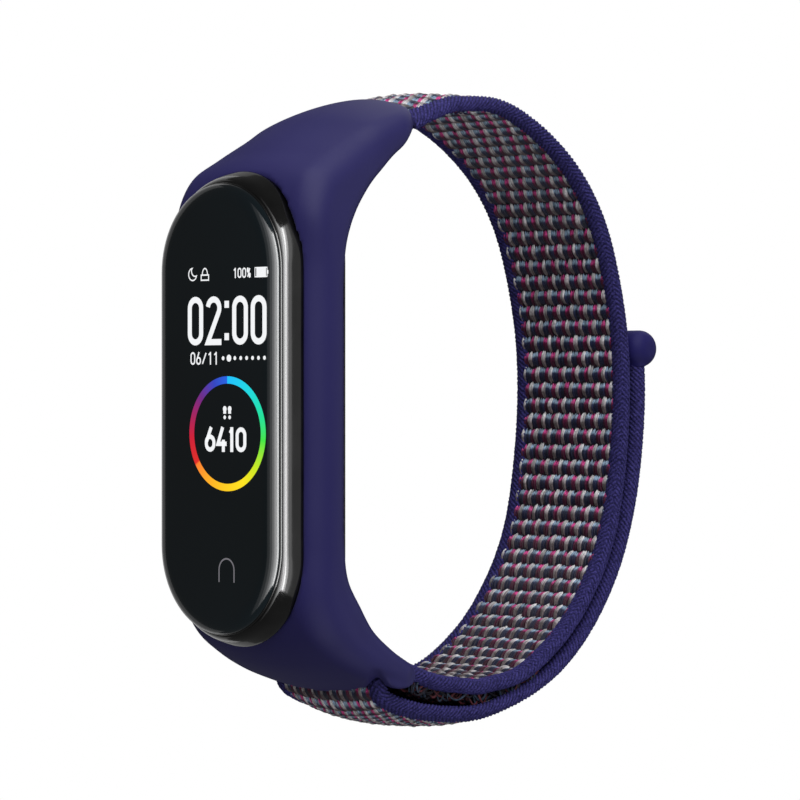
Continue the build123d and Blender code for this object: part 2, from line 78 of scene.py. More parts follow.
# ---- the strap's path
def run_on(point, heading, curvature, distance):
    """Where a straight run or an arc has got to, and its heading, after a distance."""
    if curvature == 0:
        return point[0] + distance * math.cos(heading), point[1] + distance * math.sin(heading), heading
    angle = heading + distance * curvature
    return (point[0] + (np.sin(angle) - math.sin(heading)) / curvature,
            point[1] - (np.cos(angle) - math.cos(heading)) / curvature, angle)


class Path:
    """Tangent arcs and straight runs in the Y-Z plane, measured along their length."""

    def __init__(self, start, heading, steps):
        """Each step is a radius and its turn in degrees, or 0 and the length of a straight run."""
        self.parts = []
        along, point, turned = 0.0, start, math.radians(heading)
        for radius, amount in steps:
            curvature = math.copysign(1.0 / radius, amount) if radius else 0.0
            length = radius * abs(math.radians(amount)) if radius else amount
            self.parts.append((along, length, point, turned, curvature))
            *point, turned = run_on(point, turned, curvature, length)
            along += length
        self.length = along
        self.starts = [part[0] for part in self.parts]

    def at(self, s):
        """Points and headings at an array of distances; the first and last parts run on past the ends."""
        s = np.asarray(s, float)
        found = np.zeros((3, *s.shape))
        for i, (begin, length, *part) in enumerate(self.parts):
            low = -np.inf if i == 0 else begin
            high = np.inf if i == len(self.parts) - 1 else begin + length
            pick = (s >= low) & (s < high)
            for axis, value in zip(found, run_on(*part, s[pick] - begin)):
                axis[pick] = value
        return found

    def one(self, s):
        """The point and heading at a single distance along the path."""
        return [float(v[0]) for v in self.at([s])]


# the strap starts inside the closed end, found by running back from the crown
run_back = Path(CROWN, 180.0, [(ENTRY_RADIUS, ENTRY_ANGLE), (0, INSIDE)])
inside_start = run_back.one(run_back.length)[:2]
ENTRY_STEPS = [(0, INSIDE), (ENTRY_RADIUS, -ENTRY_ANGLE)]
BAR_STEPS = [(0, BAR_RUN), (BAR_TURN, 180.0)]
strap_path = Path(inside_start, ENTRY_ANGLE, ENTRY_STEPS + MAIN_ARCS + BAR_STEPS + FLAP_ARCS)
BAR_START = strap_path.starts[-4]
FLAP_START = strap_path.starts[-3]
STRAP_END = strap_path.length


# how the worn fabric strays from the plain path: distance along, then how far outwards
STRAY = [(0, 0.0), (2, 0.0), (4, 0.05), (8, 0.6), (14, 1.15), (24, 0.9), (42, 0.72), (56, 0.45),
         (70, 0.75), (78, 0.95), (84, 1.15), (89, 0.7), (94, 0.2), (99, 0.0), (104.5, -0.12), (109, -0.1),
         (114, -0.1), (122, -0.45), (131, -0.7), (143, -0.42), (156, -0.6), (168, -0.8)]
# how far the flap's middle hangs below its edges just after the bar
BELLY = [(0, 0.0), (104.5, 0.0), (109, 1.2), (119, 1.2), (131, 0.0), (168, 0.0)]
# how far the strap's left edge is pulled up where it turns round the bar
LEFT_LIFT = [(0, 0.0), (103, 0.0), (107, 0.5), (118, 0.5), (128, 0.0), (168, 0.0)]
# how far the strap's edges fall below its middle at the arched closed end, and how far that reaches
ARCH_DROP = 2.0
ARCH_LENGTH = 16.0


def eased(s, knots):
    """A smooth value through (distance, value) knots, level at each of them."""
    at, value = np.array(knots, float).T
    i = np.clip(np.searchsorted(at, s, side="right") - 1, 0, len(at) - 2)
    t = np.clip((s - at[i]) / (at[i + 1] - at[i]), 0, 1)
    return value[i] + (value[i + 1] - value[i]) * t * t * (3 - 2 * t)


def place(s, x, n):
    """Row-frame points for distance s along the strap, x across it and n out of its face."""
    s, x, n = np.broadcast_arrays(s, x, n)
    y, z, turned = strap_path.at(s)
    across = np.abs(x) / STRAP_HALF
    arch = ARCH_DROP * np.maximum(0, 1 - s / ARCH_LENGTH) ** 1.4
    out = n + eased(s, STRAY) - arch * across ** 2.2
    out = out - eased(s, BELLY) * np.maximum(0, 1 - across ** 2)
    out = out + eased(s, LEFT_LIFT) * np.maximum(0, -x / STRAP_HALF) ** 2
    return np.stack([x, y - np.sin(turned) * out, z + np.cos(turned) * out], axis=-1)


# ---- mesh helpers
def new_object(name, data):
    """An object in the scene for a mesh, a light or a camera."""
    obj = bpy.data.objects.new(name, data)
    bpy.context.scene.collection.objects.link(obj)
    return obj


def full_turn(count):
    """Evenly spread angles round a full turn."""
    return np.linspace(0, 2 * math.pi, count, False)


def make_mesh(name, points, faces, materials, slots=None, smooth=True):
    """A mesh object from points in millimetres."""
    mesh = bpy.data.meshes.new(name)
    points = np.asarray(points, float).reshape(-1, 3) * MM
    mesh.from_pydata(points.tolist(), [], [list(map(int, f)) for f in faces])
    for material in materials:
        mesh.materials.append(material)
    if slots is not None:
        mesh.polygons.foreach_set("material_index", np.asarray(slots, np.int32))
    mesh.polygons.foreach_set("use_smooth", np.full(len(mesh.polygons), smooth))
    mesh.update()
    return new_object(name, mesh)


def grid_faces(rows, columns, wrap=False):
    """Quads joining a grid of points, closed round each row if wrap is set."""
    faces = []
    last = columns if wrap else columns - 1
    for r in range(rows - 1):
        for c in range(last):
            d = (c + 1) % columns
            a = r * columns
            b = a + columns
            faces.append((a + c, a + d, b + d, b + c))
    return faces


def tube(rings, cap=True):
    """Points and faces of a closed tube through rings of equal point counts."""
    rings = np.asarray(rings, float)
    count, around = rings.shape[:2]
    faces = grid_faces(count, around, wrap=True)
    if cap:
        faces.append(tuple(reversed(range(around))))
        faces.append(tuple((count - 1) * around + i for i in range(around)))
    return rings.reshape(-1, 3), faces


class Gathered:
    """Points, faces and slot numbers of many small shapes, put together as one mesh."""

    def __init__(self):
        self.points, self.faces, self.slots = [], [], []
        self.count = 0

    def add(self, points, faces, slots=()):
        """Add points, and faces numbered from the first of them."""
        self.points.append(points)
        self.faces.extend(tuple(i + self.count for i in face) for face in faces)
        self.slots.extend(slots)
        self.count += len(points)

    def mesh(self, name, materials, smooth=True):
        """One mesh object of everything added."""
        points = np.concatenate(self.points)
        return make_mesh(name, points, self.faces, materials, self.slots or None, smooth)


def strip_rings(stations, half, count, top, under):
    """Rings round a flat strip of the strap: across its top, then back along its underside."""
    xs = np.linspace(-half, half, count)
    ring_x = np.concatenate([xs, xs[::-1]])
    ring_n = np.repeat([top, under], count)
    return place(stations[:, None], ring_x, ring_n)


def store(piece, label, values):
    """Keep a value at each point of a piece for its material to read."""
    layer = piece.data.attributes.new(label, "FLOAT", "POINT")
    layer.data.foreach_set("value", np.asarray(values, np.float32))


def stadium_ring(half_wide, half_tall, y, arc=40):
    """One ring of a stadium outline standing in the X-Z plane at depth y."""
    straight = half_tall - half_wide
    turn = np.linspace(0, math.pi, arc)
    top = np.stack([half_wide * np.cos(turn), np.full(arc, y), straight + half_wide * np.sin(turn)], -1)
    return np.concatenate([top, top * (-1, 1, -1)])


def bend_profile(points):
    """Round the corners of a short profile by subdividing it smoothly."""
    points = np.asarray(points, float)
    for _ in range(3):
        cut = np.empty((2 * len(points) - 2, points.shape[1]))
        cut[0::2] = 0.75 * points[:-1] + 0.25 * points[1:]
        cut[1::2] = 0.25 * points[:-1] + 0.75 * points[1:]
        points = np.concatenate([points[:1], cut, points[-1:]])
    return points


# ---- materials
def srgb(*screen):
    """Linear colour from 0-255 screen values."""
    values = [value / 255 for value in screen]
    return (*[v / 12.92 if v <= 0.04045 else ((v + 0.055) / 1.055) ** 2.4 for v in values], 1.0)


def new_material(name):
    """An empty principled material, its node tree and its shader."""
    material = bpy.data.materials.new(name)
    material.use_nodes = True
    tree = material.node_tree
    shader = tree.nodes["Principled BSDF"]
    return material, tree, shader


def tune(node, **values):
    """Put constants straight on a node's sockets, an underscore standing for a space in a name."""
    for label, value in values.items():
        node.inputs[label.replace("_", " ")].default_value = value


def add_node(tree, kind, **values):
    """A new shader node with constants on its sockets."""
    node = tree.nodes.new("ShaderNode" + kind)
    tune(node, **values)
    return node


def add_noise(tree, scale, detail=2.0, rough=0.5):
    """A noise texture in object space."""
    coords = add_node(tree, "TexCoord")
    noise = add_node(tree, "TexNoise", Scale=scale, Detail=detail, Roughness=rough)
    tree.links.new(coords.outputs["Object"], noise.inputs["Vector"])
    return noise.outputs["Fac"]


def add_ramp(tree, source, stops):
    """A colour ramp fed by a socket."""
    ramp = add_node(tree, "ValToRGB")
    elements = ramp.color_ramp.elements
    while len(elements) < len(stops):
        elements.new(0.5)
    for element, (position, colour) in zip(elements, stops):
        element.position = position
        element.color = colour
    tree.links.new(source, ramp.inputs["Fac"])
    return ramp.outputs["Color"]


def add_bump(tree, shader, source, strength, distance):
    """Bump from a height socket into the shader's normal."""
    bump = add_node(tree, "Bump", Strength=strength, Distance=distance)
    tree.links.new(source, bump.inputs["Height"])
    tree.links.new(bump.outputs["Normal"], shader.inputs["Normal"])


def drifting(name, scale, detail, rough, stops):
    """A material whose colour wanders with noise: itself, its tree, its shader and the noise."""
    material, tree, shader = new_material(name)
    noise = add_noise(tree, scale, detail, rough)
    tree.links.new(add_ramp(tree, noise, stops), shader.inputs["Base Color"])
    return material, tree, shader, noise


def wander(tree, shader, noise, low, high):
    """Roughness that follows a noise between two values."""
    span = add_node(tree, "MapRange", To_Min=low, To_Max=high)
    tree.links.new(noise, span.inputs["Value"])
    tree.links.new(span.outputs["Result"], shader.inputs["Roughness"])


def grainy(name, dark, light, scale, rough_low, rough_high, bump, distance, specular=0.5, metallic=0.0):
    """A surface whose colour and roughness wander a little and whose grain stands out, in metres."""
    stops = [(0.3, srgb(*dark)), (0.7, srgb(*light))]
    material, tree, shader, noise = drifting(name, scale, 3.0, 0.55, stops)
    wander(tree, shader, noise, rough_low, rough_high)
    add_bump(tree, shader, noise, bump, distance)
    tune(shader, Specular_IOR_Level=specular, Metallic=metallic)
    return material


def moulded_navy(name, base, lift, specular):
    """Satin silicone: a slow drift of colour and polish, and a fine spark-eroded grain."""
    stops = [(0.35, srgb(*base)), (0.75, srgb(*lift))]
    material, tree, shader, noise = drifting(name, 60.0, 2.0, 0.5, stops)
    wander(tree, shader, noise, 0.46, 0.58)
    add_bump(tree, shader, add_noise(tree, 5200.0), 0.16, 4e-5)
    tune(shader, Specular_IOR_Level=specular)
    return material


navy_rubber = moulded_navy("navy_rubber", (34, 31, 82), (39, 36, 88), 0.22)
cap_rubber = moulded_navy("cap_rubber_navy", (26, 23, 76), (32, 29, 84), 0.12)
binding_navy = grainy("binding_navy", (18, 15, 64), (70, 65, 134), 4600.0, 0.8, 0.95, 1.0, 7e-5, specular=0.2)
# the strap's ground under the floats: its near-black colour is painted shade for the grooves between rows
core_ground_painted_shade = grainy("core_ground_painted_shade", (8, 7, 20), (30, 16, 32), 1800.0, 0.85, 1.0, 0.6, 1e-4)
# what each point of a float tells its yarn: how far along it, which places its painted highlight and shade,
# how far across it, and its own tint
NOTES = ("along_float", "across_float", "float_tint")


def multiply(tree, first, second):
    """The product of two colour sockets."""
    node = add_node(tree, "Mix")
    node.data_type = "RGBA"
    node.blend_type = "MULTIPLY"
    tune(node, Factor=1.0)
    tree.links.new(first, node.inputs["A"])
    tree.links.new(second, node.inputs["B"])
    return node.outputs["Result"]


def grey(level):
    """A neutral ramp colour."""
    return (level, level, level, 1.0)


def read_note(tree, label):
    """The socket of a value stored at each point."""
    note = add_node(tree, "Attribute")
    note.attribute_name = label
    return note.outputs["Fac"]


def yarn(name, painted_glint, middle, deep):
    """Multi-filament yarn: a painted highlight where a float rises, painted shade where it dives, split into
    fine fibres.
    """
    material, tree, shader = new_material(name)
    along, across, tint = (read_note(tree, label) for label in NOTES)
    # along each float: painted shade at both ends where it dives, a painted highlight near its rise, then its
    # middle tone
    colour = add_ramp(tree, along, [(0.0, deep), (0.1, painted_glint), (0.26, painted_glint), (0.4, middle),
                                    (0.62, deep), (1.0, deep)])
    fibres = add_node(tree, "TexWave", Scale=0.9, Distortion=1.2)
    place_on = add_node(tree, "CombineXYZ")
    tree.links.new(across, place_on.inputs["X"])
    tree.links.new(tint, place_on.inputs["Y"])
    tree.links.new(place_on.outputs["Vector"], fibres.inputs["Vector"])
    lines = add_ramp(tree, fibres.outputs["Fac"], [(0.1, grey(0.5)), (0.6, grey(1.0))])
    worn = add_ramp(tree, tint, [(0.0, grey(0.4)), (1.0, grey(1.0))])
    speckle = add_ramp(tree, add_noise(tree, 4200.0, 2.0, 0.6), [(0.35, grey(0.6)), (0.6, grey(1.0))])
    mixed = multiply(tree, multiply(tree, colour, lines), multiply(tree, worn, speckle))
    tree.links.new(mixed, shader.inputs["Base Color"])
    add_bump(tree, shader, fibres.outputs["Fac"], 0.3, 4e-5)
    tune(shader, Roughness=0.34)
    return material


def paint_valley_shade(material, label, deep):
    """Paint shade into a material's colour where a height stored at its points is low."""
    tree = material.node_tree
    target = tree.nodes["Principled BSDF"].inputs["Base Color"]
    colour = target.links[0].from_socket
    shade = add_ramp(tree, read_note(tree, label), [(0.0, grey(deep)), (0.8, grey(1.0))])
    tree.links.new(multiply(tree, colour, shade), target)


# each yarn: a painted highlight colour, its middle tone, and a painted shade colour for where its floats dive
YARNS = [yarn("yarn_cream", (1.0, 0.98, 1.0, 1.0), srgb(226, 218, 222), srgb(128, 116, 118)),
         yarn("yarn_slate", srgb(176, 206, 236), srgb(46, 56, 96), srgb(30, 34, 66)),
         yarn("yarn_burgundy", srgb(250, 84, 170), srgb(112, 22, 70), srgb(74, 16, 48))]
# painted shade in the valleys between the binding's ribs
paint_valley_shade(binding_navy, "rib_height", 0.34)


# ---- woven strap
# offset across the unit, width, which yarn
FLOATS = [(0.17, 0.29, 0), (0.40, 0.24, 0), (0.66, 0.27, 1), (0.92, 0.27, 1), (1.18, 0.27, 1),
          (1.45, 0.25, 2), (1.72, 0.28, 2)]
# for cream, slate and burgundy: float length, height and shift along the strap
FLOAT_SHAPE = np.array([(2.0, 0.44, -0.05), (1.82, 0.36, 0.0), (1.82, 0.36, 0.05)])
ALONG = np.linspace(0, 1, 8)
ACROSS = np.array([-1.0, -0.62, 0.0, 0.62, 1.0])
ROW_START = 0.4
FACE_SHIFT = 0.3


def float_list(low, high, side, scale):
    """Centre, position across, width and yarn of every float whose middle lies in a stretch."""
    found = []
    pitch = ROW_PITCH * scale
    first = math.ceil((low - ROW_START) / pitch)
    last = math.floor((high - ROW_START) / pitch)
    for row in range(first, last + 1):
        middle = ROW_START + row * pitch
        if not low <= middle < high:
            continue
        shift = (row % 2) * UNIT_PITCH / 2 + (FACE_SHIFT if side > 0 else 0.0)
        for unit in range(-7, 7):
            for offset, wide, colour in FLOATS:
                x = (unit * UNIT_PITCH + shift + offset) * scale
                if abs(x) < FIELD_HALF - 0.1:
                    found.append((middle, x, wide * scale, colour))
    return found


def weave_face(low, high, side, scale):
    """Points, faces, yarn numbers and notes of the floats on one face of a stretch of strap."""
    floats = float_list(low, high, side, scale)
    middle, x, wide, colour = (np.array(v, float)[:, None, None] for v in zip(*floats))
    count = len(floats)

    def jitter(size):
        return RNG.normal(0, size, (count, 1, 1))

    u = ALONG[None, :, None]
    v = ACROSS[None, None, :]
    swell = np.sin(math.pi * u)
    long, tall, nudge = (FLOAT_SHAPE[colour.astype(int), i] * scale for i in range(3))
    length = long * (1 + jitter(0.06))
    s = middle + nudge + jitter(0.04) + (u - 0.5) * length
    width = wide * (0.45 + 0.62 * swell ** 0.6)
    bow = -0.15 * scale * (1 + jitter(0.4)) * (4 * u * (1 - u) - 0.5)
    across = x + jitter(0.03) + bow + v * width / 2
    across = np.clip(across, -FIELD_HALF - 0.05, FIELD_HALF + 0.05)
    height = tall * (1 + jitter(0.1)) * swell ** 0.7
    profile = np.sqrt(np.maximum(0, 1 - v * v))
    rise = CORE_HALF_THICK - 0.06 + height * (0.45 + 0.55 * profile) - 0.16 * (1 - profile)
    points = place(s, across, side * rise)
    quads = grid_faces(len(ALONG), len(ACROSS))
    stride = len(ALONG) * len(ACROSS)
    base = (np.arange(count) * stride)[:, None, None]
    faces = (np.array(quads)[None] + base).reshape(-1, 4)
    if side > 0:
        faces = faces[:, ::-1]
    slots = np.repeat(colour.reshape(-1).astype(int), len(quads))
    tint = RNG.uniform(0, 1, (count, 1, 1)) ** 0.7
    notes = [np.broadcast_to(note, across.shape).reshape(-1) for note in (u, (v + 1) / 2, tint)]
    return points.reshape(-1, 3), faces, slots, notes


def strap_core(low, high):
    """The strap's ground under the floats, near-black as painted shade for the grooves between rows: a thin
    closed strip.
    """
    stations = np.linspace(low, high, max(4, int((high - low) / 0.7)))
    return tube(strip_rings(stations, FIELD_HALF + 0.1, 15, CORE_HALF_THICK, -CORE_HALF_THICK))


def weave_piece(name, low, high, sides=(1, -1), core=True, scales=(1.0, 1.0)):
    """A stretch of woven strap: its floats and, if asked, its ground."""
    woven = Gathered()
    notes = []
    for side, scale in zip(sides, scales):
        points, faces, colours, face_notes = weave_face(low, high, side, scale)
        woven.add(points, faces.tolist(), colours)
        notes.append(face_notes)
    if core:
        points, faces = strap_core(low, high)
        woven.add(points, faces, [len(YARNS)] * len(faces))
        notes.append(np.zeros((len(NOTES), len(points))))
    piece = woven.mesh(name, YARNS + [core_ground_painted_shade])
    for label, values in zip(NOTES, np.concatenate(notes, axis=1)):
        store(piece, label, values)
    return piece


RIB_PITCH = 0.5
RIB_HEIGHT = 0.075
RIB_SLANT = 5.0


def binding_piece(name, low, high, side):
    """The edging along one side of a stretch of strap, knitted in slanting ribs that meet in a V."""
    stations = np.linspace(low, high, int((high - low) / 0.085))
    turn = full_turn(40)
    s = stations[:, None]
    a = turn[None]
    twist = RIB_SLANT * np.abs((a / math.pi + 0.25) % 2 - 1)
    loose = RNG.normal(0, 0.07, (len(stations), len(turn)))
    rib = np.cos(2 * math.pi * (s / RIB_PITCH + twist + loose))
    grow = RIB_HEIGHT * rib + RNG.normal(0, 0.012, (len(stations), len(turn)))
    x = side * (BINDING_X + (BINDING_WIDE + grow) * np.cos(a))
    rings = place(s, x, (BINDING_THICK + grow) * np.sin(a))
    if side < 0:
        rings = rings[:, ::-1]
        rib = rib[:, ::-1]
    piece = make_mesh(name, *tube(rings), [binding_navy])
    # the rib height that sets the binding's painted valley shade
    store(piece, "rib_height", 0.5 + 0.5 * rib.reshape(-1))
    return piece


def centre_at(s):
    """The strap's centre at s, in millimetres."""
    return place([s], 0.0, 0.0)[0]


def point_at(s):
    """The strap's centre at s, in metres."""
    return tuple(centre_at(s) * MM)


# how far round the flap's first and second arcs its second and third hinges lie
SECOND_HINGE_TURN = 30.4
THIRD_HINGE_TURN = 9.1
flap_lengths = [math.radians(turn) * radius for radius, turn in FLAP_ARCS]
hinge_at = [FLAP_START,
            FLAP_START + math.radians(SECOND_HINGE_TURN) * FLAP_ARCS[0][0],
            FLAP_START + flap_lengths[0] + math.radians(THIRD_HINGE_TURN) * FLAP_ARCS[1][0],
            FLAP_START + flap_lengths[0] + flap_lengths[1],
            STRAP_END]
MIDDLES = [(a + b) / 2 for a, b in zip(hinge_at[:-1], hinge_at[1:])]
BAR_MIDDLE = (BAR_START + FLAP_START) / 2
# how far on each side of a hinge, and before the one at the bar, the strap's centre is looked up
REACH = 3.6
BAR_REACH = 1.2
STRAP_LOW = 0.9
FINER_WEAVE = 0.72

for face_name, side in (("outer", 1), ("inner", -1)):
    face = weave_piece(f"strap_weave_{face_name}", STRAP_LOW, BAR_MIDDLE, (side,), core=side > 0)
    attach(face, "root")
    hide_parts("strap_band", "strap_fold", "strap_anchor_tab")
for side_name, side in (("left", -1), ("right", 1)):
    edge = binding_piece(f"strap_binding_{side_name}", STRAP_LOW, BAR_MIDDLE, side)
    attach(edge, "root")
    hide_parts(f"strap_edge_{side_name}")

cuts = [BAR_MIDDLE] + MIDDLES + [STRAP_END]
for i in range(5):
    low, high = cuts[i], cuts[i + 1]
    covered = [n for n in (i, i + 1) if 1 <= n <= 4]
    parts = [(weave_piece(f"flap_weave_{i}", low, high, scales=(1.0, FINER_WEAVE)), "strap_weave", "")]
    for side_name, side in (("left", -1), ("right", 1)):
        edge = binding_piece(f"flap_binding_{i}_{side_name}", low, high, side)
        parts.append((edge, "strap_edge", "_edges"))
    for piece, slot_name, suffix in parts:
        if i < 4:
            hinge = hinge_at[i]
            reach = BAR_REACH if i == 0 else REACH
            point_at(hinge - reach)
            point_at(hinge + REACH)
            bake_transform(piece)
        else:
            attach(piece, "flap_four")
        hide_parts(*[f"flap_{n}{suffix}" for n in covered])


# ---- holder
# depth behind the rim and height of the crest, the same of the wrist side, half width, how far
# the crest and the wrist side fall away at the edges, and the corner radii outside and inside
HOLDER_ROWS = np.array([
    (16.3, 31.45, 16.0, 29.1, 9.3, 2.0, 1.6, 1.3, 0.9),
    (14.0, 31.05, 14.2, 28.4, 9.4, 2.0, 1.6, 1.5, 0.9),
    (11.3, 30.3, 12.6, 27.2, 9.5, 2.0, 1.6, 1.7, 0.9),
    (8.9, 29.35, 11.2, 26.0, 9.6, 2.0, 1.4, 1.9, 1.0),
    (6.6, 28.05, 9.7, 24.3, 9.7, 2.1, 1.1, 2.1, 1.1),
    (2.8, 25.6, 7.9, 21.9, 10.1, 1.8, 0.5, 2.4, 1.4),
    (0.1, 23.45, 6.3, 19.4, 10.45, 1.3, 0.1, 2.5, 1.5),
    (-1.3, 19.95, 5.1, 17.0, 10.7, 0.9, 0.05, 2.6, 1.6),
    (-1.2, 13.5, 4.55, 13.5, 10.65, 0.9, 0.05, 2.8, 1.6),
    *[(-1.2, z, 4.5, z, 10.65, 0.9, 0.05, 2.8, 1.6) for z in (6.5, 0.0, -6.5)],
    (-1.2, -13.5, 4.6, -13.5, 10.65, 0.9, 0.05, 2.8, 1.6),
    (-0.97, -19.3, 5.3, -16.9, 10.55, 0.95, 0.05, 2.8, 1.6),
    (0.85, -22.9, 6.8, -19.2, 10.45, 1.2, 0.05, 2.6, 1.5),
    (3.25, -25.05, 8.7, -21.6, 10.15, 1.5, 0.05, 2.3, 1.4),
    (7.0, -26.95, 11.3, -23.75, 10.05, 1.4, 0.05, 2.0, 1.1),
    (11.4, -28.6, 13.6, -25.05, 9.8, 1.3, 0.05, 1.6, 0.9),
    (16.0, -30.2, 17.6, -26.9, 9.6, 1.3, 0.05, 1.6, 0.9),
])


def smooth_rows(rows, per_span):
    """Rows interpolated smoothly through every given row."""
    middle = (rows[:, :2] + rows[:, 2:4]) / 2
    step = np.linalg.norm(np.diff(middle, axis=0), axis=1)
    slope = np.diff(rows, axis=0) / step[:, None]
    tangent = np.empty_like(rows)
    tangent[1:-1] = ((slope[:-1] * step[1:, None] + slope[1:] * step[:-1, None])
                     / (step[1:] + step[:-1])[:, None])
    tangent[0], tangent[-1] = slope[0], slope[-1]
    out, along = [], []
    travelled = 0.0
    for i, h in enumerate(step):
        for t in np.linspace(0, 1, per_span, endpoint=i == len(step) - 1):
            a = 2 * t ** 3 - 3 * t ** 2 + 1
            b = t ** 3 - 2 * t ** 2 + t
            out.append(a * rows[i] + b * h * tangent[i] + (1 - a) * rows[i + 1]
                       + (t ** 3 - t ** 2) * h * tangent[i + 1])
            along.append(travelled + t * h)
        travelled += h
    return np.array(out), np.array(along)


def holder_ring(row, narrow, thin):
    """One closed ring of the holder's surface from a row of the table."""
    depth_out, z_out, depth_in, z_in, half, drop_out, drop_in, r_out, r_in = row
    inner = np.array([0.0, RIM_Y + depth_in, z_in])
    up = np.array([0.0, RIM_Y + depth_out, z_out]) - inner
    tall = np.linalg.norm(up)
    up /= tall
    scale = (half - narrow) / half
    spread = np.sin(np.linspace(-math.pi / 2, math.pi / 2, 36))
    reach = spread * half * scale

    def corner(radius):
        into = np.maximum(0, np.abs(reach) - (half * scale - radius)) / radius
        return radius * (1 - np.sqrt(np.maximum(0, 1 - into ** 2)))

    top = tall - drop_out * (reach / half) ** 2 - corner(r_out) - thin
    low = -drop_in * (reach / half) ** 2 + corner(r_in) + thin
    ring_x = np.concatenate([reach, reach[::-1]])
    ring_h = np.concatenate([low, top[::-1]])
    return inner + np.stack([ring_x, 0 * ring_x, 0 * ring_x], -1) + ring_h[:, None] * up


def dress(obj, material):
    """One material and smooth shading all over a finished mesh."""
    count = len(obj.data.polygons)
    obj.data.materials.clear()
    obj.data.materials.append(material)
    obj.data.polygons.foreach_set("material_index", np.zeros(count, np.int32))
    obj.data.polygons.foreach_set("use_smooth", np.ones(count, bool))
    obj.data.update()


def solid(name, rings):
    """A plain closed tube with its faces turned outwards, for joining and cutting."""
    obj = make_mesh(name, *tube(rings), [])
    bm = bmesh.new()
    bm.from_mesh(obj.data)
    bmesh.ops.recalc_face_normals(bm, faces=bm.faces)
    bm.to_mesh(obj.data)
    bm.free()
    return obj


def combine(target, tool, operation):
    """Add or cut one closed mesh with another, and drop the tool."""
    step = target.modifiers.new("shape", "BOOLEAN")
    step.operation = operation
    step.solver = "MANIFOLD"
    step.object = tool
    bpy.context.view_layer.objects.active = target
    bpy.ops.object.modifier_apply(modifier=step.name)
    bpy.data.objects.remove(tool)


def prism(name, outline, x_low, x_high):
    """A side-view outline of (depth, height) points pushed out across the strap."""
    return solid(name, [[(x, y, z) for y, z in outline] for x in (x_low, x_high)])


def mould(obj, voxel, passes, material):
    """Melt a joined solid into one skin with softened edges, all in one material."""
    remesh = obj.modifiers.new("voxels", "REMESH")
    remesh.mode = "VOXEL"
    remesh.voxel_size = voxel * MM
    obj.modifiers.new("relax", "SMOOTH").iterations = passes
    bpy.context.view_layer.objects.active = obj
    for step in ("voxels", "relax"):
        bpy.ops.object.modifier_apply(modifier=step)
    dress(obj, material)


def fallen(distance, reach):
    """How much of a quarter-round edge has fallen away at a distance in from it, from 1 to 0."""
    into = max(0.0, 1 - distance / reach)
    return 1 - math.sqrt(1 - into ** 2)


# at the closed end: how far its corners round, how much of that shows, and its eased lip
END_ROUND = 3.4
END_SHARE = 0.8
LIP_REACH = 0.7
LIP_EASE = 0.45
rows, travelled = smooth_rows(HOLDER_ROWS, 9)
holder = solid("holder_shell", [
    holder_ring(row, END_SHARE * (END_ROUND * fallen(distance, END_ROUND)),
                LIP_EASE * fallen(distance, LIP_REACH))
    for row, distance in zip(rows, travelled)])

GAP = 0.12
TRACKER = (17.9 / 2, 46.9 / 2)
TUB = (8.0, 22.5)
IN_FRONT = 10
for label, (half_wide, half_tall), deep in (("rebate", TRACKER, 0.0), ("opening", TUB, 20.0)):
    ends = [stadium_ring(half_wide + GAP, half_tall + GAP, y) for y in (RIM_Y - IN_FRONT, RIM_Y + deep)]
    combine(holder, solid(label, ends), "DIFFERENCE")

# slotted end: the strap's turn, the space below the bar, and the cheeks beside it
bar_y, bar_z, bar_turned = strap_path.one(BAR_START)
BAR_CENTRE = np.array([bar_y - BAR_TURN * math.sin(bar_turned), bar_z + BAR_TURN * math.cos(bar_turned)])
tip_angle = bar_turned + math.pi
ALONG_BAR = np.array([math.cos(tip_angle), math.sin(tip_angle)])
UP_BAR = np.array([-ALONG_BAR[1], ALONG_BAR[0]])
SLOT_HALF = STRAP_HALF + 0.35
CHEEK_HALF = 9.45


def bar_outline(points):
    """Side-view points given along and up from the bar's centre."""
    return [tuple(BAR_CENTRE + t * ALONG_BAR + n * UP_BAR) for t, n in points]


def circle(radius, count=40):
    """Points on a circle round the origin."""
    return [(radius * math.cos(a), radius * math.sin(a)) for a in full_turn(count)]


TURN_SPACE = 2.85
BAR_RADIUS = 0.62
BAR_SUNK = 0.6
# how far the cuts run past the bar, above and below it, and to each side
PAST = 12
BEYOND = 8
ASIDE = 13
# where the wrist-side lip ends along the bar's frame, how far it sweeps back at the sides, its step
LIP_END = -1.4
LIP_SWEEP = 2.6
LIP_STEP = 1.1
space = prism("turn_space", bar_outline(circle(TURN_SPACE)), -SLOT_HALF, SLOT_HALF)
combine(holder, space, "DIFFERENCE")
behind = bar_outline([(0, -BEYOND), (PAST, -BEYOND), (PAST, BEYOND), (0, BEYOND)])
combine(holder, prism("tail_space", behind, -ASIDE, ASIDE), "DIFFERENCE")
lip_rings = []
for x in np.linspace(-ASIDE, ASIDE, 27):
    lip = LIP_END - LIP_SWEEP * min(1.3, abs(x) / SLOT_HALF) ** 4
    outline = [(lip, -BEYOND), (PAST, -BEYOND), (PAST, -0.2), (lip + LIP_STEP, -0.2), (lip, -1.2)]
    lip_rings.append([(x, y, z) for y, z in bar_outline(outline)])
combine(holder, solid("lip_space", lip_rings), "DIFFERENCE")
CHEEK = bend_profile([(-6.4, 3.2), (-3.1, 2.3), (-0.55, 2.0), (0.85, 1.65), (1.2, 0.8), (0.85, -0.25),
                      (-0.6, -1.0), (-2.1, -1.0), (-2.9, -0.5), (-3.6, -0.42), (-4.6, 0.6), (-6.4, 1.4)])
for side in (-1, 1):
    ends = sorted((side * SLOT_HALF, side * CHEEK_HALF))
    combine(holder, prism("cheek", bar_outline(CHEEK), *ends), "UNION")
bar_half = SLOT_HALF + BAR_SUNK
combine(holder, prism("bar", bar_outline(circle(BAR_RADIUS)), -bar_half, bar_half), "UNION")

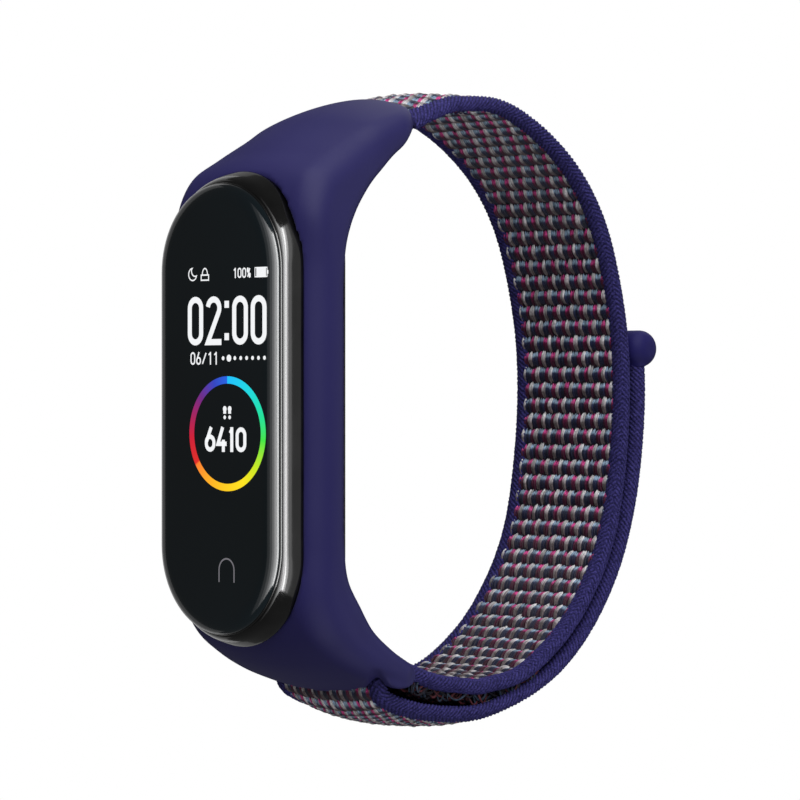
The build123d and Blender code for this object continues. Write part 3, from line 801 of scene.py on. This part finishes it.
# closed end: the arched pocket that the strap runs into
POCKET_GAP = 0.25
pocket_s = np.linspace(STRAP_LOW - 0.3, INSIDE + 4.0, 12)
pocket = strip_rings(pocket_s, STRAP_HALF + POCKET_GAP, 25, 0.6, -0.95)
combine(holder, solid("pocket", pocket), "DIFFERENCE")

mould(holder, voxel=0.24, passes=6, material=navy_rubber)
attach(holder, "root")
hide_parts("holder")


# ---- tracker
glass_stops = [(0.3, srgb(1, 3, 4)), (0.7, srgb(2, 5, 7))]
glass_black, tree, shader, _ = drifting("glass_black", 40.0, 2.0, 0.5, glass_stops)
tune(shader, Roughness=0.11)
add_bump(tree, shader, add_noise(tree, 260.0, 4.0), 0.01, 2e-5)

case_stops = [(0.3, srgb(1, 1, 1)), (0.7, srgb(3, 3, 3))]
case_black, tree, shader, drift = drifting("case_black_gloss", 300.0, 3.0, 0.5, case_stops)
wander(tree, shader, drift, 0.07, 0.13)
add_bump(tree, shader, drift, 0.015, 3e-5)


def stadium_shell(name, profile, material):
    """A shell swept round a stadium outline; each profile row is half width, half height, depth."""
    obj = solid(name, [stadium_ring(wide, tall, RIM_Y + y) for wide, tall, y in profile])
    dress(obj, material)
    return obj


def quarter(wide, tall, y, radius_in, radius_y, count):
    """Profile rows rounding a front edge from flat to side."""
    rows = []
    for t in np.linspace(0, math.pi / 2, count):
        inset = radius_in * (1 - math.sin(t))
        rows.append((wide - inset, tall - inset, y + radius_y * (1 - math.cos(t))))
    return rows


glass_rows = quarter(8.6, 22.1, -3.8, 1.75, 0.84, 24)
glass_rows += [(8.6, 22.1, -2.93), (8.45, 21.95, -2.88), (6.5, 20.0, -2.88)]
glass = stadium_shell("cover_glass_shell", glass_rows, glass_black)
ring_rows = [(6.6, 20.1, -2.86), (8.55, 22.05, -2.86)] + quarter(8.7, 22.2, -2.86, 0.14, 0.13, 6)
ring_rows += [(8.68, 22.18, -2.62), (8.4, 21.9, -2.6), (6.6, 20.1, -2.6)]
ring = stadium_shell("bezel_ring_shell", ring_rows, case_black)
case_rows = [(6.6, 20.1, -2.58), (8.3, 21.8, -2.58), (8.5, 22.1, -2.58), (8.63, 22.3, -2.53),
             (8.72, 22.5, -2.42), (8.8, 22.7, -2.2), (8.86, 22.9, -1.85), (8.905, 23.06, -1.45),
             (8.935, 23.2, -1.0), (8.95, 23.34, -0.6), (8.95, 23.42, -0.3), (8.93, 23.43, -0.12),
             (8.85, 23.35, -0.1), (7.95, 22.45, -0.1), (7.95, 22.45, 0.78), (6.6, 21.1, 0.78)]
case = stadium_shell("upper_case_shell", case_rows, case_black)
TRACKER_PIECES = [glass, ring, case]
for piece, node, slot_name in ((glass, "cover_glass", "screen_glass"), (ring, "bezel_ring", "case_black"),
                               (case, "upper_case", "case_black")):
    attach(piece, "tracker")
    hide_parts(node)


# ---- display
def lit(tree, shader, colour):
    """Let a shader glow with a colour socket, under the gloss of the glass."""
    tree.links.new(colour, shader.inputs["Emission Color"])
    tune(shader, Emission_Strength=1.0, Base_Color=grey(0.02), Roughness=0.05)


def glowing(name, colour):
    """A lit display element, barely dimmer between its fine dots."""
    material, tree, shader = new_material(name)
    dim = tuple(0.93 * c for c in colour[:3])
    lit(tree, shader, add_ramp(tree, add_noise(tree, 9000.0, 1.0), [(0.2, (*dim, 1.0)), (0.8, colour)]))
    return material


lit_white = glowing("lit_white", srgb(246, 248, 250))
lit_grey = glowing("lit_grey", srgb(112, 110, 116))
SHOWN_X = 1.95
INK_Y = GLASS_FRONT - 0.012


def arc_points(cx, cz, rx, rz, start, end, count=14):
    """Points along an elliptic arc, in degrees."""
    angles = np.radians(np.linspace(start, end, count))
    return [(cx + rx * math.cos(a), cz + rz * math.sin(a)) for a in angles]


def stroke(points, wide, closed):
    """Quads for a stroke of even width along a line of points."""
    p = np.array(points, float)
    ends = (p[-1:], p[:1]) if closed else (2 * p[:1] - p[1:2], 2 * p[-1:] - p[-2:-1])
    along = np.diff(np.vstack([ends[0], p, ends[1]]), axis=0)
    along /= np.linalg.norm(along, axis=1, keepdims=True)
    side = np.stack([-along[:, 1], along[:, 0]], 1)
    mitre = side[:-1] + side[1:]
    mitre /= np.linalg.norm(mitre, axis=1, keepdims=True)
    reach = wide / 2 / np.maximum(0.45, np.sum(mitre * side[:-1], axis=1, keepdims=True))
    left, right = p + mitre * reach, p - mitre * reach
    count = len(p)
    last = count if closed else count - 1
    faces = [(i, (i + 1) % count, count + (i + 1) % count, count + i) for i in range(last)]
    return np.vstack([left, right]), faces


def stadium_line(cx, cz, half_wide, half_tall):
    """Centre line of an upright 0."""
    straight = half_tall - half_wide
    return (arc_points(cx, cz + straight, half_wide, half_wide, 0, 180, 16)
            + arc_points(cx, cz - straight, half_wide, half_wide, 180, 360, 16))


def digit(glyph, left, low, wide, tall, weight):
    """Strokes of one glyph as (points, closed) in a box."""
    w, h = wide / 2 - weight / 2, tall / 2 - weight / 2
    cx, cz = left + wide / 2, low + tall / 2
    if glyph == "0":
        return [(stadium_line(cx, cz, w, h), True)]
    if glyph == "1":
        stem = cx + 0.25 * w
        return [([(stem, cz + h + weight / 2), (stem, cz - h - weight / 2)], False),
                ([(cx - 0.75 * w, cz + 0.62 * h), (stem, cz + h - 0.1 * weight)], False)]
    if glyph == "2":
        head = arc_points(cx, cz + h - w, w, w, 172, -32, 16)
        return [(head + [(cx - w, cz - h), (cx + w + weight / 2, cz - h)], False)]
    if glyph == "4":
        arm = cz - 0.42 * h
        return [([(cx + 0.25 * w, cz + h + weight / 2), (cx - w, arm), (cx + w + weight / 3, arm)], False),
                ([(cx + 0.42 * w, cz - 0.02 * h), (cx + 0.42 * w, cz - h - weight / 2)], False)]
    if glyph == "6":
        return [(stadium_line(cx, cz - h + w * 1.12, w, w * 1.12), True),
                ([(cx - w * 0.97, cz - h + w * 1.35), (cx + 0.28 * w, cz + h + weight / 2)], False)]
    if glyph == "/":
        return [([(cx - w, cz - h), (cx + w, cz + h)], False)]
    # what is left is the per cent sign
    return [([(cx - 0.7 * w, cz - h), (cx + 0.7 * w, cz + h)], False),
            (stadium_line(cx - 0.65 * w, cz + 0.6 * h, 0.3 * w, 0.4 * h), True),
            (stadium_line(cx + 0.65 * w, cz - 0.6 * h, 0.3 * w, 0.4 * h), True)]


def ink_piece(name, strokes, material):
    """One flat display element made of strokes of (points, width, closed)."""
    ink = Gathered()
    for line, wide, closed in strokes:
        flat, faces = stroke(line, wide, closed)
        ink.add(np.stack([flat[:, 0] + SHOWN_X, np.full(len(flat), INK_Y), flat[:, 1]], -1), faces)
    piece = ink.mesh(name, [material], smooth=False)
    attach(piece, "tracker")
    return piece


def blob(cx, cz, rx, rz):
    """A filled ellipse as one wide stroke ring."""
    return (arc_points(cx, cz, rx / 2, rz / 2, 0, 342.9, 20), min(rx, rz), True)


def line_of_text(text, left, low, wide, tall, gap, weight):
    """Strokes of a row of glyphs; the thick 1 is set narrower."""
    strokes = []
    for glyph in text:
        if glyph == ":":
            for z in (low + 0.17 * tall, low + 0.83 * tall):
                strokes.append(([(left + 0.05, z), (left + 0.05 + weight * 1.1, z)], weight * 1.15, False))
            left += weight * 1.3 + gap
            continue
        room = wide * (0.6 if glyph == "1" and weight > 0.3 else 1.0)
        for points, closed in digit(glyph, left, low, room, tall, weight):
            strokes.append((points, weight, closed))
        left += room + gap
    return strokes


def dot(number):
    """One of the row of dots that stand for the rest of the date; the second is larger."""
    size = 0.34 if number == 1 else 0.2
    return blob(-0.6 + 0.86 * number, 4.97, size, size)


ink_piece("display_time", line_of_text("02:00", -5.85, 6.26, 2.3, 4.78, 0.4, 0.6), lit_white)
ink_piece("display_date", line_of_text("06/11", -5.45, 4.35, 0.72, 1.25, 0.13, 0.17)
          + [dot(i) for i in range(8)], lit_white)
ink_piece("display_steps", line_of_text("6410", -3.3, -4.18, 1.56, 2.42, 0.16, 0.44), lit_white)
ink_piece("display_percent", line_of_text("100%", 0.85, 12.75, 0.58, 1.0, 0.09, 0.15), lit_white)
battery_icon = [([(4.25, 13.26), (5.65, 13.26)], 1.0, False),
                ([(4.05, 12.82), (5.8, 12.82), (5.8, 13.7), (4.05, 13.7)], 0.1, True),
                ([(5.84, 13.26), (5.98, 13.26)], 0.36, False)]
moon_icon = [(arc_points(-5.12, 13.25, 0.6, 0.6, 95, 345, 20)
              + arc_points(-4.75, 13.6, 0.55, 0.55, 290, 165, 12), 0.13, True)]
lock_icon = [([(-3.85, 12.65), (-2.75, 12.65), (-2.75, 13.15), (-3.85, 13.15)], 0.14, True),
             (arc_points(-3.3, 13.2, 0.38, 0.6, 0, 180, 12), 0.13, False)]
ink_piece("display_icons", battery_icon + moon_icon + lock_icon, lit_white)
feet = []
for x in (-0.36, 0.36):
    feet += [blob(x, 0.02, 0.27, 0.3), ([(x, -0.2), (x, -0.45)], 0.42, False), blob(x, -0.8, 0.19, 0.19)]
ink_piece("display_feet", feet, lit_white)
key_arch = arc_points(-0.1, -15.7, 1.1, 1.1, 180, 0, 16)
key_line = [(-1.2, -16.9), (-1.2, -15.9)] + key_arch + [(1.0, -15.9), (1.0, -16.9)]
ink_piece("display_key", [(key_line, 0.16, False)], lit_grey)

# how far round the ring each colour lies
RING_COLOURS = [(0.0, (0, 190, 255)), (0.10, (0, 215, 225)), (0.20, (10, 225, 150)), (0.27, (60, 230, 60)),
                (0.36, (200, 230, 10)), (0.43, (255, 226, 0)), (0.52, (255, 200, 0)), (0.60, (255, 165, 20)),
                (0.655, (255, 125, 35)), (0.66, (222, 30, 20)), (0.74, (205, 0, 45)), (0.80, (165, 10, 85)),
                (0.87, (105, 25, 130)), (0.94, (40, 60, 190)), (1.0, (20, 95, 225))]
ring_lit, tree, shader = new_material("lit_ring")
coords = add_node(tree, "TexCoord")
split = add_node(tree, "SeparateXYZ")
tree.links.new(coords.outputs["Object"], split.inputs["Vector"])
RING_AT = (0.0, -2.4)
RING_RADIUS = 5.25
turned = []
for axis, centre in (("Z", RING_AT[1] * MM), ("X", (RING_AT[0] + SHOWN_X) * MM)):
    less = add_node(tree, "Math")
    less.operation = "SUBTRACT"
    less.inputs[0].default_value = centre
    tree.links.new(split.outputs[axis], less.inputs[1])
    turned.append(less)
join = add_node(tree, "CombineXYZ")
tree.links.new(turned[0].outputs[0], join.inputs["X"])
tree.links.new(turned[1].outputs[0], join.inputs["Y"])
sweep = add_node(tree, "TexGradient")
sweep.gradient_type = "RADIAL"
tree.links.new(join.outputs["Vector"], sweep.inputs["Vector"])
stops = [(at, srgb(*colour)) for at, colour in RING_COLOURS]
lit(tree, shader, add_ramp(tree, sweep.outputs["Fac"], stops))
ring_line = arc_points(*RING_AT, RING_RADIUS, RING_RADIUS, 0, 357.2, 128)
ink_piece("display_ring", [(ring_line, 0.72, True)], ring_lit)


# ---- end cap, hook patch
tip_turned = strap_path.one(STRAP_END)[2]
TIP = centre_at(STRAP_END)[1:]
TIP_ALONG = np.array([math.cos(tip_turned), math.sin(tip_turned)])
TIP_OUT = np.array([math.sin(tip_turned), -math.cos(tip_turned)])
# the bead's centre past the strap's end and out of it
cap_centre = TIP + 1.2 * TIP_ALONG + 0.45 * TIP_OUT
CAP_RADIUS = 1.95
CAP_HALF = 8.75
CAP_EDGE = 1.5
sines = np.sin(np.linspace(-math.pi / 2, 0, 12)), np.sin(np.linspace(0, math.pi / 2, 12))
stations = np.concatenate([sines[0] * CAP_EDGE - (CAP_HALF - CAP_EDGE),
                           sines[1] * CAP_EDGE + (CAP_HALF - CAP_EDGE)])
rings = []
for x in stations:
    into = max(0.0, abs(x) - (CAP_HALF - CAP_EDGE)) / CAP_EDGE
    radius = CAP_RADIUS - CAP_EDGE + CAP_EDGE * math.sqrt(max(0.0, 1 - into ** 2))
    rings.append([(x, cap_centre[0] + y, cap_centre[1] + z) for y, z in circle(radius)])
cap = solid("end_cap_bead", rings)
# the sleeve over the strap's end: how far along each ring lies and how much larger than the strap
SLEEVE = [(-0.7, 0.0), (-0.6, 0.1), (-0.4, 0.15), (0.4, 0.2), (1.0, 0.2)]
sleeve_rings = []
for t, grow in SLEEVE:
    ring = []
    for a in full_turn(48):
        x = math.copysign(abs(math.cos(a)) ** 0.35, math.cos(a)) * (STRAP_HALF + 0.12 + grow * 0.8)
        n = math.copysign(abs(math.sin(a)) ** 0.6, math.sin(a)) * (STRAP_HALF_THICK + grow)
        ring.append((x, *(TIP + t * TIP_ALONG + n * TIP_OUT)))
    sleeve_rings.append(ring)
combine(cap, solid("sleeve", sleeve_rings), "UNION")
mould(cap, voxel=0.14, passes=5, material=cap_rubber)
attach(cap, "flap_four")
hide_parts("end_cap")

hook_nylon = grainy("hook_nylon", (16, 15, 40), (40, 38, 80), 4000.0, 0.5, 0.7, 0.6, 1e-4)
patch_low = hinge_at[3] + 1.6
patch_high = STRAP_END - 3.2
PATCH_HALF = 5.5
HOOK_PITCH = 0.55
HOOK_SQUARE = 0.05 * np.array([(-1, 1, 1, -1), (-1, -1, 1, 1)])
# how far a hook leans along the strap, and its height above the strap's middle
HOOK_PATH = [(0.0, 1.0), (0.0, 1.14), (0.07, 1.2), (0.16, 1.17)]
hooks = Gathered()
hooks.add(*tube(strip_rings(np.linspace(patch_low, patch_high, 20), PATCH_HALF, 12, 1.02, 0.7)))
for s in np.arange(patch_low + 0.35, patch_high - 0.3, HOOK_PITCH):
    for x in np.arange(0.3 - PATCH_HALF, PATCH_HALF - 0.2, HOOK_PITCH):
        hooks.add(*tube([place(s + lean + HOOK_SQUARE[0], x + HOOK_SQUARE[1], rise)
                         for lean, rise in HOOK_PATH]))
patch = hooks.mesh("hook_patch_pile", [hook_nylon], smooth=False)
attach(patch, "flap_four")
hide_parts("hook_patch")

# ---- sewn fold at the closed end
thread_navy = grainy("thread_navy", (24, 22, 60), (50, 48, 100), 6000.0, 0.6, 0.8, 0.5, 5e-5)
STITCH_PITCH = 0.68
STITCH_HALF = 0.27
STITCH_LIFT = 0.2
THREAD = 0.09
stitches = Gathered()
turn = full_turn(6)
for line, s_at in enumerate((INSIDE + 5.9, INSIDE + 7.0)):
    for column in range(-9, 10):
        middle = column * STITCH_PITCH + 0.2 * line
        rings = []
        for t in np.linspace(-1, 1, 9):
            rise = STRAP_HALF_THICK + 0.04 + STITCH_LIFT * math.sqrt(max(0.0, 1 - t * t))
            rings.append(place(s_at + THREAD * np.cos(turn), middle + STITCH_HALF * t,
                               -(rise + THREAD * np.sin(turn))))
        stitches.add(*tube(rings))
seam = stitches.mesh("fold_seam", [thread_navy])
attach(seam, "root")
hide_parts("fold_stitches")

# ---- loose pile between the layers
pile_yarns = [grainy("pile_red", (40, 12, 18), (116, 48, 58), 3000.0, 0.6, 0.8, 0.4, 5e-5),
              grainy("pile_blue", (12, 22, 36), (50, 70, 96), 3000.0, 0.6, 0.8, 0.4, 5e-5),
              grainy("pile_dark", (8, 8, 18), (30, 26, 44), 3000.0, 0.7, 0.9, 0.4, 5e-5)]


def pile_piece(name, low, high, count, lift, reach):
    """Curly loops of yarn standing off the band's outer face between two distances along it."""
    loops = Gathered()
    turn = full_turn(5)
    for _ in range(count):
        s_at = RNG.uniform(low, high)
        x_at = RNG.choice([-1, 1]) * RNG.uniform(*reach)
        lean, drift, tall = RNG.uniform(-3.0, 3.0), RNG.uniform(-0.8, 0.8), RNG.uniform(0.3, 1.0) * lift
        thick = RNG.uniform(0.08, 0.16)
        rings = []
        for t in np.linspace(0, 1, 9):
            along = s_at + lean * (t - 0.5) + thick * np.cos(turn)
            out = STRAP_HALF_THICK - 0.1 + tall * math.sin(math.pi * t) + thick * np.sin(turn)
            rings.append(place(along, x_at + drift * t, out))
        points, faces = tube(rings)
        loops.add(points, faces, [int(RNG.integers(0, 3))] * len(faces))
    return loops.mesh(name, pile_yarns)


pile = pile_piece("strap_pile", 82.0, 99.0, 1000, 1.15, (3.4, 6.9))
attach(pile, "root")

# ---- the CAD pieces that stay
BY_SLOT = {
    "steel": grainy("pin_steel", (150, 150, 150), (190, 190, 190), 900.0, 0.25, 0.4, 0.1, 2e-5, metallic=1.0),
    "gold": grainy("contact_gold", (196, 160, 92), (222, 190, 120), 1200.0, 0.22, 0.35, 0.12, 2e-5,
                   metallic=1.0),
    "seal_rubber": grainy("seal_black", (18, 18, 18), (34, 34, 34), 1500.0, 0.7, 0.9, 0.4, 5e-5),
    "copper": grainy("flex_copper", (150, 92, 46), (186, 120, 66), 1200.0, 0.4, 0.55, 0.1, 2e-5),
    "display_black": grainy("panel_black", (8, 8, 10), (14, 14, 16), 500.0, 0.1, 0.2, 0.02, 1e-5),
    "board_green": grainy("board_green", (12, 62, 34), (20, 86, 48), 1500.0, 0.35, 0.5, 0.2, 4e-5),
    "chip_black": grainy("chip_black", (20, 20, 22), (40, 40, 42), 3000.0, 0.5, 0.7, 0.3, 3e-5),
    "battery_grey": grainy("pouch_grey", (150, 152, 156), (186, 188, 190), 700.0, 0.3, 0.45, 0.3, 6e-5),
    "lead_red": grainy("lead_red", (150, 22, 20), (186, 34, 30), 2500.0, 0.45, 0.6, 0.2, 3e-5),
    "tungsten": grainy("weight_grey", (96, 96, 100), (140, 140, 144), 2500.0, 0.4, 0.6, 0.3, 4e-5,
                       metallic=1.0),
    "led_green": grainy("led_clear", (60, 150, 80), (110, 200, 120), 1500.0, 0.15, 0.25, 0.1, 2e-5),
    "screen_glass": glass_black,
    "case_black": case_black,
    "dark_lens": glass_black,
}
slots = {part["node"]: part["material_slot"] for part in frame["record"]["subparts"]}
for node, obj in frame["nodes"].items():
    material = BY_SLOT.get(slots.get(node))
    if material:
        obj.data.materials.clear()
        obj.data.materials.append(material)

# ---- stage, lights, camera
# the floor lies low enough for the opened flap to hang clear of it
FLOOR_Z = -0.1
FLOOR_RADIUS = 230.0
floor_mat, tree, shader, _ = drifting("floor_pale", 30.0, 2.0, 0.5, [(0.2, grey(0.9)), (0.8, grey(0.92))])
tune(shader, Roughness=0.9, Specular_IOR_Level=0.1, Emission_Color=grey(1.0), Emission_Strength=1.0)
FLOOR_COUNT = 96
floor_rings = [[(x, y, 0) for x, y in circle(radius, FLOOR_COUNT)] for radius in (FLOOR_RADIUS, 1.0)]
floor_points, floor_faces = tube(floor_rings, cap=False)
floor_faces.append(tuple(range(FLOOR_COUNT, 2 * FLOOR_COUNT)))
floor = make_mesh("floor", floor_points, floor_faces, [floor_mat], smooth=False)
floor.location = (0, 0, FLOOR_Z)
floor.visible_diffuse = False
floor.visible_glossy = False
floor.visible_shadow = False

world = bpy.data.worlds.new("studio")
bpy.context.scene.world = world
world.use_nodes = True
tree = world.node_tree
ground = tree.nodes["Background"]
tune(ground, Color=grey(1.0))
path_info = add_node(tree, "LightPath")
level = add_node(tree, "MapRange", To_Min=0.12, To_Max=1.0)
tree.links.new(path_info.outputs["Is Camera Ray"], level.inputs["Value"])
tree.links.new(level.outputs["Result"], ground.inputs["Strength"])


def soft_box(name, azimuth, height, distance, wide, tall, power):
    """A rectangular light aimed at the middle; azimuth 0 is in front of the display."""
    data = bpy.data.lights.new(name, "AREA")
    data.shape = "RECTANGLE"
    data.size = wide
    data.size_y = tall
    data.energy = power
    light = new_object(name, data)
    a, e = math.radians(azimuth), math.radians(height)
    spot = np.array([math.sin(a) * math.cos(e), -math.cos(a) * math.cos(e), math.sin(e)]) * distance
    light.location = spot
    aim = -spot / np.linalg.norm(spot)
    light.rotation_euler = Vector(aim).to_track_quat("-Z", "Y").to_euler()
    return light


def shine_on(lights, pieces, only):
    """Let lights fall only on some pieces, or on all but those."""
    for light in lights:
        chosen = bpy.data.collections.new(light.name + "_reach")
        for piece in pieces:
            chosen.objects.link(piece)
        for member in chosen.collection_objects:
            member.light_linking.link_state = "INCLUDE" if only else "EXCLUDE"
        light.light_linking.receiver_collection = chosen


band_lights = [soft_box("overhead", 40, 68, 0.60, 0.7, 0.7, 4.0),
               soft_box("camera_side", 60, 28, 0.70, 0.5, 0.4, 2.2),
               soft_box("side_fill", 142, 0, 0.60, 0.6, 0.9, 0.9),
               soft_box("back_rim", 205, 40, 0.70, 0.5, 0.5, 0.7),
               soft_box("below", 70, -50, 0.60, 0.6, 0.6, 1.3)]
shine_on(band_lights, TRACKER_PIECES, False)
# upright strips round the tracker, whose reflections shade its case: azimuth, width, brightness
STRIPS = [(-12, 0.1, 0.4), (2, 0.13, 1.2), (17, 0.13, 3.0), (32, 0.13, 5.5), (47, 0.13, 8.5),
          (68, 0.18, 14.0), (88, 0.12, 24.0), (100, 0.08, 9.0), (110, 0.1, 2.2), (123, 0.12, 0.4),
          (145, 0.26, 0.15), (235, 0.2, 0.2), (258, 0.3, 0.7), (285, 0.2, 0.4)]
STRIP_TALL = 1.0
tracker_lights = []
for azimuth, wide, radiance in STRIPS:
    power = radiance * math.pi * wide * STRIP_TALL
    tracker_lights.append(soft_box(f"strip_{azimuth}", azimuth, 0, 0.50, wide, STRIP_TALL, power))
shine_on(tracker_lights, TRACKER_PIECES, True)

camera_data = bpy.data.cameras.new("camera")
camera_data.lens = 180.8
camera_data.sensor_width = 36.0
camera_data.clip_end = 20.0
camera_data.clip_start = 0.01
camera = new_object("camera", camera_data)
camera.location = (0.2956, -0.29095, 0.00089)
camera.rotation_euler = (math.pi / 2, 0.0, math.atan2(0.71934, 0.69466))
bpy.context.scene.camera = camera
bpy.context.scene.view_settings.view_transform = "Standard"
